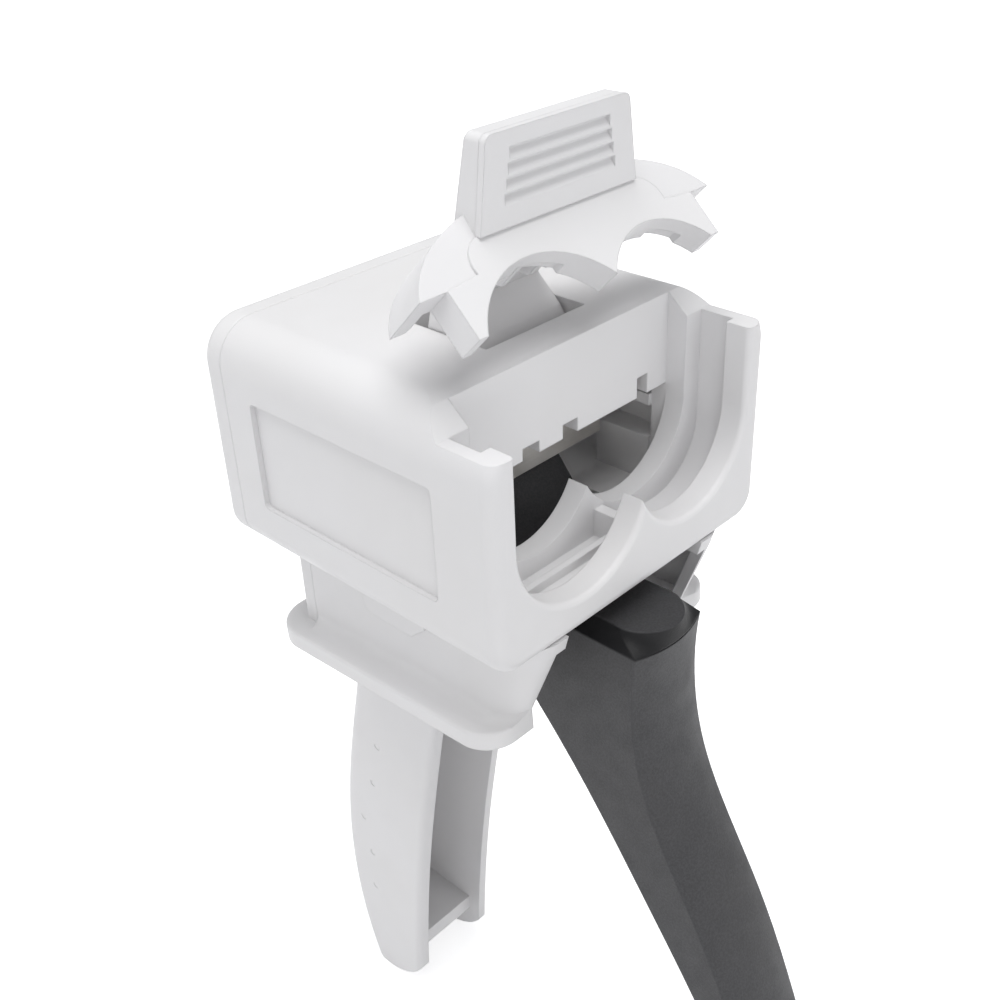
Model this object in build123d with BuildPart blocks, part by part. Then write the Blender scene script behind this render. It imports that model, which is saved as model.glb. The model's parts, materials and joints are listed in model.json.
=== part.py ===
from build123d import *
from math import cos, radians, sin
import os

os.makedirs("parts", exist_ok=True)

# The origin is on the front face, midway between the two barrel axes.
# +X is to the right, +Y runs back through the body and +Z is up. Lengths are in millimetres.

# Body shell
body_width = 66.0
body_depth = 67.2
rear_cover_depth = 5.45
deck_height = 21.5
body_drop = 19.5
wall = 3.0
top_corner = 7.5
bottom_corner = 5.0
front_round = 2.5
rear_round = 2.6
seam_round = 0.3
panel_start = 12.3
panel_margin = 6.95
panel_top = 10.0
panel_height = 19.8
panel_depth = 1.0
panel_corner = 1.0
half_width = body_width / 2
cover_seam = body_depth - rear_cover_depth

# Cartridge receiver, from the front face backwards
barrel_offset = 13.9
mouth_side = 5.1
mouth_left_radius = 15.0
mouth_left_rise = 1.7
mouth_right_radius = 13.9
mouth_right_rise = 2.6
mouth_round = 1.0
front_wall = 4.75
flange_slot = 6.35
slot_side = 3.2
slot_corner = 12.0
slot_floor = -14.2
second_wall = 3.95
rear_lobe_side = 7.3
rear_lobe_radius = 13.7
rear_lobe_rise = 2.8
ledge_drop = 4.2
deck_lip_drop = 0.75
deck_lip_length = 5.4
slot_rib = 1.7
slot_rib_thickness = 2.1
slot_rib_height = 5.1
floor_rib_side = 21.8
floor_rib_start = 2.2
floor_rib_thickness = 1.2
floor_rib_height = 1.6
cross_wall_edge = 4.0
guide_rib_reach = 8.0
upper_rib_length = 16.0
upper_rib_low = -1.2
upper_rib_high = 1.0
lower_rib_length = 12.0
lower_rib_top = -7.5
cross_wall_notches = ((-19.1, 2.8, 3.7), (-8.85, 3.9, 2.1), (0.5, 3.6, 2.5), (19.1, 2.8, 3.7))
ledge_height = deck_height - ledge_drop
mouth_half = half_width - mouth_side
slot_end = front_wall + flange_slot
receiver_depth = slot_end + second_wall
cross_wall_back = receiver_depth + wall
inner_floor = -body_drop + wall
inner_top = deck_height - wall

# Passages for a pair of push rods, which belong to another part
push_rod_radius = 3.5
rod_clearance = 0.1
rod_bore = push_rod_radius + rod_clearance
bush_wall = 1.4
bush_flange = 1.1
bush_length = 8.6
boss_wall = 2.0
press_gap = 0.02
running_gap = 0.05
screw_gap = 0.1
side_gap = 0.3

# Latch: its sizes are those of the closed pose, and it is made open by open_angle
open_angle = 46.0
hinge_y = 30.13
hinge_drop = 8.02
hinge_pin_radius = 1.5
hinge_barrel_radius = 3.2
hinge_barrel_half = 11.2
ear_width = 3.0
ear_margin = 0.9
recess_setback = 6.15
recess_length = 18.2
plate_front = 0.2
plate_thickness = 5.2
plate_rise = 5.7
arch_left_x = -11.3
arch_left_radius = 16.0
arch_right_x = 13.5
arch_right_radius = 14.0
arch_rise = 1.9
arch_step_length = 2.25
arch_step_depth = 0.8
left_step = (-11.3, -3.0)
right_step = (16.9, 22.6)
leg_gap = 0.9
leg_length = 7.9
seam_half = 20.7
seam_round_width = 3.7
wing_inset = 1.1
wing_gap = 0.3
shell_front_step = 0.35
shell_thickness = 3.0
shell_rise = 10.6
shell_depth = 9.75
arm_gap = 0.6
arm_height = 3.9
arm_front_half = 8.75
arm_straight = 12.0
arm_flare = 24.0
tongue_gap = 1.0
gusset_x = (2.0, 8.0)
gusset_thickness = 1.0
gusset_height = 3.5
gusset_length = 5.6
tab_front = 15.6
tab_rise = 19.6
tab_height = 14.2
tab_foot_half = 17.1
tab_top_half = 15.3
tab_foot_depth = 5.8
tab_top_depth = 4.0
tab_corner = 1.4
pad_margin = 0.6
grip_thickness = 1.2
grip_sink = 0.8
groove_count = 4
groove_low = 3.6
groove_height = 8.4
groove_foot_half = 12.0
groove_top_half = 10.3
groove_land = 0.25
hinge_z = deck_height - hinge_drop
recess_start = receiver_depth + recess_setback
recess_end = recess_start + recess_length
tab_foot = deck_height + tab_rise
tab_top = tab_foot + tab_height
groove_foot = tab_foot + groove_low
groove_top = groove_foot + groove_height

# Drive and brake
drive_travel = 9.8
drive_front_gap = 0.55
drive_plate_front = cross_wall_back + drive_travel + drive_front_gap
drive_plate_thickness = 2.4
drive_plate_half = 24.0
drive_plate_bottom = -9.2
drive_plate_top = 8.0
drive_ear_top = 13.4
drive_ear_inner = 16.4
guide_pin_radius = 1.25
guide_pin_x = 20.4
guide_pin_z = 10.4
drive_spring_radius = 2.5
spring_pocket = 1.4
bulkhead_setback = 11.6
bulkhead_thickness = 2.5
bulkhead_inset = 1.5
brake_plate_setback = 9.05
brake_plate_thickness = 2.4
brake_plate_half = 20.5
brake_plate_bottom = -8.4
brake_plate_top = 7.4
brake_hole_gap = 0.5
release_pin_radius = 1.25
release_setback = 5.25
release_z = -11.5
release_hub_radius = 3.0
release_half_width = 8.0
release_ear_width = 2.7
release_ear_height = 2.2
release_back_thickness = 2.6
release_stem_half = 6.5
release_stem_z = 11.0
release_stem_thickness = 2.8
release_slot_side = 0.6
release_slot_rise = 1.2
release_reach = 7.0
release_pad_drop = 4.5
release_pad_rise = 2.0
brake_spring_x = 6.0
brake_spring_z = 3.0
brake_spring_radius = 2.2
brake_peg_radius = 1.3
brake_peg_length = 3.0
spring_wire = 0.8
bulkhead_front = drive_plate_front + bulkhead_setback
brake_plate_front = cover_seam - brake_plate_setback
release_y = cover_seam - release_setback

# Trigger, with the curve of its front ridge and of its back down to the tip
pivot_setback = 2.0
pivot_drop = 5.5
trigger_pin_radius = 2.5
trigger_bush_radius = 4.0
trigger_bush_length = 8.0
trigger_hub_radius = 6.5
trigger_head_half = 9.5
trigger_width = 17.5
nose_radius = 3.0
nose_z = -6.0
cap_drop = 3.0
cap_height = 3.1
cap_half_width = 6.6
cap_back = 12.0
trigger_crown = 1.9
trigger_heel_depth = 4.0
trigger_heel_drop = 5.0
trigger_head_chamfer = 1.2
trigger_neck_front = 2.0
trigger_neck_back = 3.0
trigger_tip_y = -42.0
trigger_tip_z = -131.0
trigger_tip_width = 5.0
ridge_start = -6.2
ridge_curve = ((-5.6, -36.0), (-8.4, -53.0), (-21.6, -79.0), (-34.0, -108.0))
back_curve = ((-27.5, -106.0), (-10.4, -79.5), (6.8, -56.0), (15.0, -46.5))
back_shoulder = (23.0, -37.0)
trigger_spring_wall = 1.6
trigger_spring_length = 3.7
pivot_y = drive_plate_front - pivot_setback
pivot_z = -body_drop - pivot_drop
cap_top = -body_drop - cap_drop

# Lower housing and hand guard
lower_side = 7.5
lower_wall = 2.5
lower_front = 0.3
lower_setback = 12.2
lower_slope = 6.3
lower_cover_thickness = 4.0
lower_cover_round = 1.5
lower_lip_half = 20.0
lower_rim_half = 17.4
lower_rim_height = 2.2
lower_rim_lean = 0.6
lower_rim_lip = 0.6
lower_corner = 6.0
lower_opening_depth = 9.0
guard_drop = 16.1
guard_side = 2.6
guard_front = 6.0
guard_setback = 3.2
guard_slope = 0.053
guard_thickness = 3.2
guard_front_corner = 6.0
guard_rear_corner = 8.0
guard_rim_round = 0.6
guard_root_round = 2.5
guard_root_overlap = 0.5
floor_rise = 0.6
trigger_slot_length = 7.6
saddle_half_length = 5.0
saddle_width = 5.5
saddle_gap = 6.0
snap_front = 22.2
snap_length = 15.4
snap_drop = 6.1
snap_proud = 2.4
snap_round = 2.5
snap_lead = 3.3
lower_half_width = half_width - lower_side
lower_rear = body_depth - lower_setback
trigger_hub_half = lower_half_width - saddle_width - saddle_gap
guard_half_width = half_width - guard_side
guard_rear = body_depth - guard_setback
guard_top = -body_drop - guard_drop
lower_floor = guard_top + floor_rise
trigger_slot_end = pivot_y + trigger_slot_length

# Handle, with its side view as heights and as distances behind its front top corner
handle_half_width = 11.5
handle_wall = 3.0
handle_web = 3.0
handle_round = 3.6
handle_lip_round = 1.5
handle_floor = 5.0
handle_setback = 19.0
handle_top_depth = 25.5
handle_front_curve = ((7.1, -75.0), (12.8, -105.0), (16.8, -135.0), (18.0, -148.8))
handle_foot_curve = ((21.2, -152.2), (26.0, -154.9), (31.2, -155.8), (36.5, -152.4))
handle_rear_curve = ((40.5, -127.0), (38.9, -103.0), (33.8, -79.0))
handle_plate_front = 20.9
handle_plate_z = -142.5
handle_plate_thickness = 4.0
handle_dimples = ((24.4, -82.0), (27.4, -94.4), (32.4, -107.8), (30.7, -118.2), (31.2, -129.6))
dimple_radius = 0.8
dimple_depth = 0.1
handle_y = lower_rear - handle_setback

# Fasteners
screw_radius = 1.25
screw_head_radius = 2.4
screw_head_height = 1.8
screw_head_gap = 0.2
screw_sink = 0.3
cover_screw_side = 6.2
cover_screw_length = 12.0
cover_screw_top = 13.5
cover_screw_bottom = -11.5
screw_boss_radius = 3.6
lower_screw_side = 5.5
lower_screw_front = 9.5
lower_screw_margin = 5.0
lower_screw_length = 7.0
lower_screw_boss = 3.4
lower_screw_drop = 4.5
strip_screw_x = 14.0
strip_screw_drop = 8.5
strip_screw_length = 4.4
handle_screw_margins = (13.5, 5.5)
handle_screw_length = 9.0


def across(y):
    """Plane across the body at a distance y behind the front face, drawn in X and Z."""
    return Plane.XZ.offset(-y)


def block(x, y, z, mode=Mode.ADD):
    """Box between a low and a high limit on each axis."""
    middle = ((x[0] + x[1]) / 2, (y[0] + y[1]) / 2, (z[0] + z[1]) / 2)
    with Locations(middle):
        Box(x[1] - x[0], y[1] - y[0], z[1] - z[0], mode=mode)


def round_along_x(radius, x, y, z, mode=Mode.ADD):
    """Cylinder along X between two limits."""
    with Locations(Location(((x[0] + x[1]) / 2, y, z), (0, 90, 0))):
        Cylinder(radius, x[1] - x[0], mode=mode)


def round_along_y(radius, x, y, z, mode=Mode.ADD):
    """Cylinder along Y between two limits."""
    with Locations(Location((x, (y[0] + y[1]) / 2, z), (90, 0, 0))):
        Cylinder(radius, y[1] - y[0], mode=mode)


def round_along_z(radius, x, y, z, mode=Mode.ADD):
    """Cylinder along Z between two limits."""
    with Locations((x, y, (z[0] + z[1]) / 2)):
        Cylinder(radius, z[1] - z[0], mode=mode)


def span(side, near, far):
    """Limits in X of a stretch from near to far, on the side given by +1 or -1."""
    return (near, far) if side > 0 else (-far, -near)


def body_section(sketch, inset=0.0):
    """Cross-section of the body, drawn in by an even inset."""
    top = deck_height - inset
    bottom = -body_drop + inset
    with Locations((0, (top + bottom) / 2)):
        Rectangle(body_width - 2 * inset, top - bottom)
    fillet(sketch.vertices().group_by(Axis.Y)[-1], top_corner - inset)
    fillet(sketch.vertices().group_by(Axis.Y)[0], bottom_corner - inset)


def twin_lobes(side, left_radius, left_rise, right_radius, right_rise):
    """Opening for two barrels side by side, open upwards, at a distance from both sides of the body."""
    half = half_width - side
    for x, z, radius in (
        (left_radius - half, left_rise, left_radius),
        (half - right_radius, right_rise, right_radius),
    ):
        height = deck_height + 1 - z
        with Locations((x, z)):
            Circle(radius)
        with Locations((x, z + height / 2)):
            Rectangle(2 * radius, height)


def screw(position, direction, length, head_radius=screw_head_radius):
    """Cross-recessed screw: its head stands on position and its shank runs along direction."""
    seat = Plane(origin=position, z_dir=direction)
    with BuildSketch(seat) as shank:
        Circle(screw_radius)
    extrude(shank.sketch, amount=length)
    with BuildSketch(seat) as head:
        Circle(head_radius)
    extrude(head.sketch, amount=-screw_head_height)
    with BuildSketch(seat.offset(-screw_head_height)) as recess:
        Rectangle(head_radius * 1.2, head_radius * 0.25)
        Rectangle(head_radius * 0.25, head_radius * 1.2)
    extrude(recess.sketch, amount=screw_head_height * 0.5, mode=Mode.SUBTRACT)


# Main body shell with the receiver in front
shoulder = half_width + 1
above = deck_height + 1
recess_half = hinge_barrel_half + side_gap
cover_screw_x = half_width - cover_screw_side
cover_screws = [
    (side * cover_screw_x, z) for side in (-1, 1) for z in (cover_screw_bottom, cover_screw_top)
]
lower_screw_x = lower_half_width - lower_screw_side
lower_screws = [
    (side * lower_screw_x, y)
    for side in (-1, 1)
    for y in (lower_screw_front, lower_rear - lower_screw_margin)
]
lower_screw_seat = -body_drop - lower_screw_drop
floor_hole_half = trigger_hub_half + 2
bulkhead_back = bulkhead_front + bulkhead_thickness
release_ear = (release_half_width + side_gap, release_half_width + side_gap + release_ear_width)

with BuildPart() as front_housing:
    with BuildSketch(across(0)) as outline:
        body_section(outline)
    extrude(amount=-cover_seam)
    fillet(front_housing.faces().sort_by(Axis.Y)[0].outer_wire().edges(), front_round)
    fillet(front_housing.faces().sort_by(Axis.Y)[-1].outer_wire().edges(), seam_round)
    # Everything above the posts, the ramps behind them and the curved lip of the deck
    lip_end = receiver_depth + deck_lip_length
    with BuildSketch(Plane.YZ):
        with BuildLine():
            Polyline(
                (lip_end, deck_height),
                (lip_end, above),
                (-1, above),
                (-1, ledge_height),
                (slot_end, ledge_height),
                (receiver_depth, deck_height - deck_lip_drop),
            )
            TangentArc((lip_end, deck_height), (receiver_depth, deck_height - deck_lip_drop), tangent=(-1, 0))
        make_face()
    extrude(amount=shoulder, both=True, mode=Mode.SUBTRACT)
    with BuildSketch(across(-1)):
        twin_lobes(mouth_side, mouth_left_radius, mouth_left_rise, mouth_right_radius, mouth_right_rise)
    extrude(amount=-front_wall - 1, mode=Mode.SUBTRACT)
    mouth_edges = [
        edge
        for edge in front_housing.edges()
        if abs(edge.center().Y) < 0.01 and abs(edge.center().X) < mouth_half + 0.1
        and edge.center().Z > slot_floor
    ]
    fillet(mouth_edges, mouth_round)
    with BuildSketch(across(front_wall)) as slot:
        with Locations((0, (slot_floor + above) / 2)):
            Rectangle(2 * (half_width - slot_side), above - slot_floor)
        fillet(slot.vertices().group_by(Axis.Y)[0], slot_corner)
    extrude(amount=-flange_slot, mode=Mode.SUBTRACT)
    with BuildSketch(across(slot_end)):
        twin_lobes(rear_lobe_side, rear_lobe_radius, rear_lobe_rise, rear_lobe_radius, rear_lobe_rise)
    extrude(amount=-second_wall, mode=Mode.SUBTRACT)
    block(
        (slot_rib, slot_rib + slot_rib_thickness),
        (front_wall - 0.5, slot_end + 0.5),
        (slot_floor - 1, slot_floor + slot_rib_height),
    )
    floor_rib_y = front_wall + floor_rib_start
    block(
        (-floor_rib_side, slot_rib + 1),
        (floor_rib_y, floor_rib_y + floor_rib_thickness),
        (slot_floor - 1, slot_floor + floor_rib_height),
    )
    # Hollow behind the receiver, with a cross wall that hangs from the deck
    with BuildSketch(across(cross_wall_back)) as hollow:
        body_section(hollow, wall)
    extrude(amount=-cover_seam, mode=Mode.SUBTRACT)
    rear_lobe_half = half_width - rear_lobe_side
    block(
        (-rear_lobe_half, rear_lobe_half),
        (receiver_depth, cross_wall_back),
        (inner_floor, cross_wall_edge),
        Mode.SUBTRACT,
    )
    for x, width, height in cross_wall_notches:
        block(
            (x - width / 2, x + width / 2),
            (receiver_depth, cross_wall_back),
            (cross_wall_edge - 1, cross_wall_edge + height),
            Mode.SUBTRACT,
        )
    # Guide ribs low on the inner side walls
    for side in (-1, 1):
        rib_side = span(side, half_width - guide_rib_reach, half_width - wall / 2)
        upper_rib_end = cross_wall_back + upper_rib_length
        lower_rib_end = cross_wall_back + lower_rib_length
        block(rib_side, (cross_wall_back, upper_rib_end), (upper_rib_low, upper_rib_high))
        block(rib_side, (cross_wall_back, lower_rib_end), (inner_floor - 1, lower_rib_top))
    # Recess for the latch, with the side walls that carry its hinge pin
    block((-recess_half, recess_half), (recess_start, recess_end), (inner_top - 1, above), Mode.SUBTRACT)
    ear_outer = recess_half + ear_width
    for side in (-1, 1):
        block(
            span(side, recess_half, ear_outer),
            (recess_start, hinge_y + hinge_barrel_radius + ear_margin),
            (hinge_z - hinge_barrel_radius - ear_margin, inner_top + 1),
        )
    # Bulkhead that guides the rods and holds the guide pins and brake springs
    with BuildSketch(across(bulkhead_front)) as bulkhead:
        body_section(bulkhead, bulkhead_inset)
    extrude(amount=-bulkhead_thickness)
    round_along_x(hinge_pin_radius + press_gap, (-ear_outer, ear_outer), hinge_y, hinge_z, Mode.SUBTRACT)
    for side in (-1, 1):
        round_along_y(
            rod_bore, side * barrel_offset, (bulkhead_front, bulkhead_back), 0, Mode.SUBTRACT
        )
        round_along_y(
            brake_peg_radius,
            side * brake_spring_x,
            (bulkhead_back, bulkhead_back + brake_peg_length),
            brake_spring_z,
        )
        round_along_y(
            guide_pin_radius + press_gap,
            side * guide_pin_x,
            (cross_wall_back - spring_pocket - 1, bulkhead_back),
            guide_pin_z,
            Mode.SUBTRACT,
        )
        round_along_y(
            drive_spring_radius + side_gap,
            side * guide_pin_x,
            (cross_wall_back - spring_pocket, cross_wall_back),
            guide_pin_z,
            Mode.SUBTRACT,
        )
    # Opening in the floor for the trigger
    block(
        (-floor_hole_half, floor_hole_half),
        (cross_wall_back - 1, bulkhead_front),
        (-body_drop - 1, inner_floor + 1),
        Mode.SUBTRACT,
    )
    # Ears that carry the release lever
    for side in (-1, 1):
        block(
            span(side, *release_ear),
            (release_y - release_hub_radius, release_y + release_hub_radius),
            (inner_floor - 1, release_z + release_ear_height),
        )
    round_along_x(
        release_pin_radius + press_gap, (-release_ear[1], release_ear[1]), release_y, release_z, Mode.SUBTRACT
    )
    # Posts and bosses for the screws, and ribs that hold the trigger pin down in its saddles
    for x, z in cover_screws:
        round_along_y(screw_boss_radius, x, (cover_seam - cover_screw_length, cover_seam), z)
        round_along_y(
            screw_radius + press_gap, x, (cover_seam - cover_screw_length + 1, cover_seam), z, Mode.SUBTRACT
        )
    for x, y in lower_screws:
        screw_reach = (-body_drop, -body_drop + lower_screw_drop)
        round_along_z(screw_radius + press_gap, x, y, screw_reach, Mode.SUBTRACT)
    for side in (-1, 1):
        block(
            span(side, lower_half_width - saddle_width, lower_half_width - lower_wall - side_gap),
            (pivot_y - trigger_pin_radius + side_gap, pivot_y + trigger_pin_radius - side_gap),
            (pivot_z + trigger_pin_radius, -body_drop + 0.5),
        )
    # Sunk panels on both sides
    panel_length = cover_seam - panel_margin - panel_start
    for side in (-1, 1):
        with BuildSketch(Plane.YZ.offset(side * half_width)):
            with Locations((panel_start + panel_length / 2, panel_top - panel_height / 2)):
                RectangleRounded(panel_length, panel_height, panel_corner)
        extrude(amount=-side * panel_depth, mode=Mode.SUBTRACT)
    # Snap tabs that hang over the sides of the lower housing
    snap_rear = snap_front + snap_length
    snap_low = -body_drop - snap_drop
    for side in (-1, 1):
        with BuildSketch(Plane.YZ.offset(side * lower_half_width)):
            with BuildLine():
                Polyline(
                    (snap_front, -body_drop),
                    (snap_front, snap_low + 0.85 * snap_lead),
                    (snap_front + snap_lead, snap_low),
                    (snap_rear - snap_round, snap_low),
                )
                TangentArc(
                    (snap_rear - snap_round, snap_low), (snap_rear, snap_low + snap_round), tangent=(1, 0)
                )
                Polyline(
                    (snap_rear, snap_low + snap_round), (snap_rear, -body_drop), (snap_front, -body_drop)
                )
            make_face()
        extrude(amount=side * snap_proud)

# Rear cover, a shallow cup that closes the body
with BuildPart() as rear_cover:
    with BuildSketch(across(cover_seam)) as outline:
        body_section(outline)
    extrude(amount=-rear_cover_depth)
    fillet(rear_cover.faces().sort_by(Axis.Y)[-1].outer_wire().edges(), rear_round)
    fillet(rear_cover.faces().sort_by(Axis.Y)[0].outer_wire().edges(), seam_round)
    with BuildSketch(across(cover_seam)) as hollow:
        body_section(hollow, wall)
    extrude(amount=-rear_cover_depth + wall, mode=Mode.SUBTRACT)
    for x, z in cover_screws:
        round_along_y(screw_boss_radius, x, (cover_seam, body_depth - 1), z)
        round_along_y(screw_radius + screw_gap, x, (cover_seam, body_depth), z, Mode.SUBTRACT)
        round_along_y(
            screw_head_radius + screw_head_gap,
            x,
            (body_depth - screw_head_height - screw_sink, body_depth),
            z,
            Mode.SUBTRACT,
        )
    bush_radius = rod_bore + bush_wall
    bush_front = body_depth - bush_length
    for side in (-1, 1):
        round_along_y(bush_radius + boss_wall, side * barrel_offset, (bush_front + 1, body_depth - 1), 0)
        round_along_y(
            bush_radius + press_gap, side * barrel_offset, (bush_front, body_depth), 0, Mode.SUBTRACT
        )
    slot_low = release_stem_z - release_stem_thickness
    slot_high = release_stem_z + release_stem_thickness + release_slot_rise
    block(
        (-release_stem_half - release_slot_side, release_stem_half + release_slot_side),
        (cover_seam, body_depth + 1),
        (slot_low, slot_high),
        Mode.SUBTRACT,
    )

# Flanged bushes that guide the push rods through the rear cover
with BuildPart() as rod_bushes:
    for side in (-1, 1):
        round_along_y(bush_radius, side * barrel_offset, (bush_front + 0.5, body_depth), 0)
        round_along_y(bush_radius + 1.2, side * barrel_offset, (body_depth, body_depth + bush_flange), 0)
        round_along_y(
            rod_bore, side * barrel_offset, (bush_front, body_depth + bush_flange), 0, Mode.SUBTRACT
        )

with BuildPart() as rear_cover_screws:
    for x, z in cover_screws:
        screw((x, body_depth - screw_head_height - screw_sink, z), (0, -1, 0), cover_screw_length)

# Lower housing with the hand guard around its foot
guard_plane = Plane(origin=(0, 0, guard_top), x_dir=(1, 0, 0), z_dir=(0, guard_slope, 1))


def guard_height(y):
    """Height of the guard's upper face at a distance y behind the front face."""
    return guard_top - guard_slope * y


def guard_outline(sketch):
    """Outline of the guard in its sloping plane."""
    with Locations((0, (guard_front + guard_rear) / 2)):
        Rectangle(2 * guard_half_width, guard_rear - guard_front)
    fillet(sketch.vertices().group_by(Axis.Y)[0], guard_front_corner)
    fillet(sketch.vertices().group_by(Axis.Y)[-1], guard_rear_corner)


with BuildPart() as guard_plate:
    with BuildSketch(guard_plane) as guard:
        guard_outline(guard)
    extrude(amount=-guard_thickness)
    fillet(guard_plate.faces().sort_by(Axis.Z)[-1].outer_wire().edges(), guard_rim_round)

# Hollow root where the sides of the lower housing run out into the guard and round its front corners
root_middle = guard_root_round * (1 - cos(radians(45)))
root_corner_y = lower_front + lower_slope + lower_corner
root_corner_middle = lower_corner * (1 - cos(radians(45)))
with BuildPart() as guard_root:
    for side in (-1, 1):
        with BuildLine(guard_plane) as foot:
            Line((side * lower_half_width, lower_rear - side_gap), (side * lower_half_width, root_corner_y))
            ThreePointArc(
                (side * lower_half_width, root_corner_y),
                (
                    side * (lower_half_width - root_corner_middle),
                    root_corner_y - lower_corner + root_corner_middle,
                ),
                (side * (lower_half_width - lower_corner), root_corner_y - lower_corner),
            )
        with BuildSketch(Plane(origin=foot.line @ 0, x_dir=(1, 0, 0), z_dir=foot.line % 0)):
            with BuildLine():
                Polyline(
                    (0, guard_root_round),
                    (-side * guard_root_overlap, guard_root_round),
                    (-side * guard_root_overlap, -guard_root_overlap),
                    (side * guard_root_round, -guard_root_overlap),
                    (side * guard_root_round, 0),
                )
                ThreePointArc(
                    (side * guard_root_round, 0), (side * root_middle, root_middle), (0, guard_root_round)
                )
            make_face()
        sweep(path=foot.line)
    with BuildSketch(guard_plane.offset(-guard_root_overlap)) as guard_edge:
        guard_outline(guard_edge)
    extrude(amount=guard_root_overlap + guard_root_round, mode=Mode.INTERSECT)

rim_low = -body_drop - lower_rim_height
lip_high = -body_drop + lower_rim_lip
lip_radius = front_round + running_gap
lip_back = front_round - (lip_radius ** 2 - (front_round - lower_rim_lip) ** 2) ** 0.5
lip_turn = radians(75)
with BuildPart() as lower_housing:
    with BuildSketch(Plane.YZ):
        with BuildLine():
            ThreePointArc(
                (lip_back, lip_high),
                (
                    front_round - lip_radius * cos(lip_turn),
                    -body_drop + front_round - lip_radius * sin(lip_turn),
                ),
                (front_round, -body_drop - running_gap),
            )
            Polyline(
                (front_round, -body_drop - running_gap),
                (front_round, -body_drop),
                (lower_rear, -body_drop),
                (lower_rear, guard_height(lower_rear) - 1),
                (lower_front + lower_slope, guard_height(lower_front) - 1),
                (lower_front + lower_rim_lean, rim_low),
                (lower_front - lower_rim_lean * lower_rim_lip / lower_rim_height, lip_high),
                (lip_back, lip_high),
            )
        make_face()
    extrude(amount=lower_half_width, both=True)
    front_edges = [
        edge
        for edge in lower_housing.edges()
        if edge.center().Y < lower_opening_depth and abs(abs(edge.center().X) - lower_half_width) < 0.01
        and edge.bounding_box().size.Z > 1
    ]
    fillet(front_edges, lower_corner)
    add(guard_plate.part)
    add(guard_root.part)
    with BuildSketch(Plane.YZ):
        with BuildLine():
            Polyline(
                (lower_front + lower_wall, -body_drop + 1),
                (lower_rear - lower_wall, -body_drop + 1),
                (lower_rear - lower_wall, lower_floor),
                (lower_front + lower_slope - 1 + lower_wall, lower_floor),
                (lower_front + lower_rim_lean + lower_wall, rim_low),
                close=True,
            )
        make_face()
    inner_half = lower_half_width - lower_wall
    extrude(amount=inner_half, both=True, mode=Mode.SUBTRACT)
    # Front opening between the cheeks, narrower at the rim, and the slot for the trigger below
    block(
        (-lower_lip_half, lower_lip_half),
        (-1, lower_opening_depth),
        (guard_top - 0.5, rim_low),
        Mode.SUBTRACT,
    )
    block(
        (-lower_rim_half, lower_rim_half), (-1, lower_opening_depth), (rim_low, -body_drop + 1), Mode.SUBTRACT
    )
    block(
        (-lower_lip_half, lower_lip_half),
        (-1, trigger_slot_end),
        (guard_height(guard_rear) - 5, lower_floor + 1),
        Mode.SUBTRACT,
    )
    for side in (-1, 1):
        # Open-topped saddle for the trigger pin
        block(
            span(side, lower_half_width - saddle_width - side_gap, inner_half + 1),
            (pivot_y - saddle_half_length, pivot_y + saddle_half_length),
            (pivot_z - saddle_half_length, -body_drop),
        )
        round_along_x(
            trigger_pin_radius + press_gap, span(side, 0, inner_half), pivot_y, pivot_z, Mode.SUBTRACT
        )
        block(
            span(side, 0, inner_half),
            (pivot_y - trigger_pin_radius - press_gap, pivot_y + trigger_pin_radius + press_gap),
            (pivot_z, -body_drop + 1),
            Mode.SUBTRACT,
        )
    for x, y in lower_screws:
        round_along_z(lower_screw_boss, x, y, (lower_screw_seat, -body_drop))
        round_along_z(screw_radius + screw_gap, x, y, (lower_screw_seat, -body_drop), Mode.SUBTRACT)
    handle_screw_y = [lower_rear - margin for margin in handle_screw_margins]
    for y in handle_screw_y:
        round_along_z(screw_radius + screw_gap, 0, y, (guard_height(y) - 5, lower_floor + 1), Mode.SUBTRACT)
    strip_screw_z = -body_drop - strip_screw_drop
    for side in (-1, 1):
        round_along_y(
            screw_radius + press_gap,
            side * strip_screw_x,
            (lower_rear - lower_wall, lower_rear),
            strip_screw_z,
            Mode.SUBTRACT,
        )

with BuildPart() as housing_screws:
    for x, y in lower_screws:
        screw((x, y, lower_screw_seat), (0, 0, 1), lower_screw_length)

# Cover strip on the back of the lower housing
lower_cover_back = lower_rear + lower_cover_thickness
with BuildPart() as lower_rear_cover:
    with BuildSketch(Plane.YZ):
        with BuildLine():
            Polyline(
                (lower_rear, -body_drop),
                (lower_cover_back, -body_drop),
                (lower_cover_back, guard_height(lower_cover_back)),
                (lower_rear, guard_height(lower_rear)),
                close=True,
            )
        make_face()
    extrude(amount=lower_half_width, both=True)
    back_edges = [
        edge
        for edge in lower_rear_cover.edges()
        if abs(edge.center().Y - lower_cover_back) < 0.01 and abs(edge.center().X) > lower_half_width - 1
    ]
    fillet(back_edges, lower_cover_round)
    strip_head = lower_cover_back - screw_head_height - screw_sink
    for side in (-1, 1):
        round_along_y(
            screw_radius + screw_gap,
            side * strip_screw_x,
            (lower_rear, lower_cover_back),
            strip_screw_z,
            Mode.SUBTRACT,
        )
        round_along_y(
            screw_head_radius + screw_head_gap,
            side * strip_screw_x,
            (strip_head, lower_cover_back),
            strip_screw_z,
            Mode.SUBTRACT,
        )

with BuildPart() as lower_cover_screws:
    for side in (-1, 1):
        screw((side * strip_screw_x, strip_head, strip_screw_z), (0, -1, 0), strip_screw_length)


# Fixed handle, a channel that is open to the front
def guard_underside(y):
    """Height of the guard's lower face at a distance y behind the front face."""
    return guard_height(y) - guard_thickness * (1 + guard_slope ** 2) ** 0.5


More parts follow.
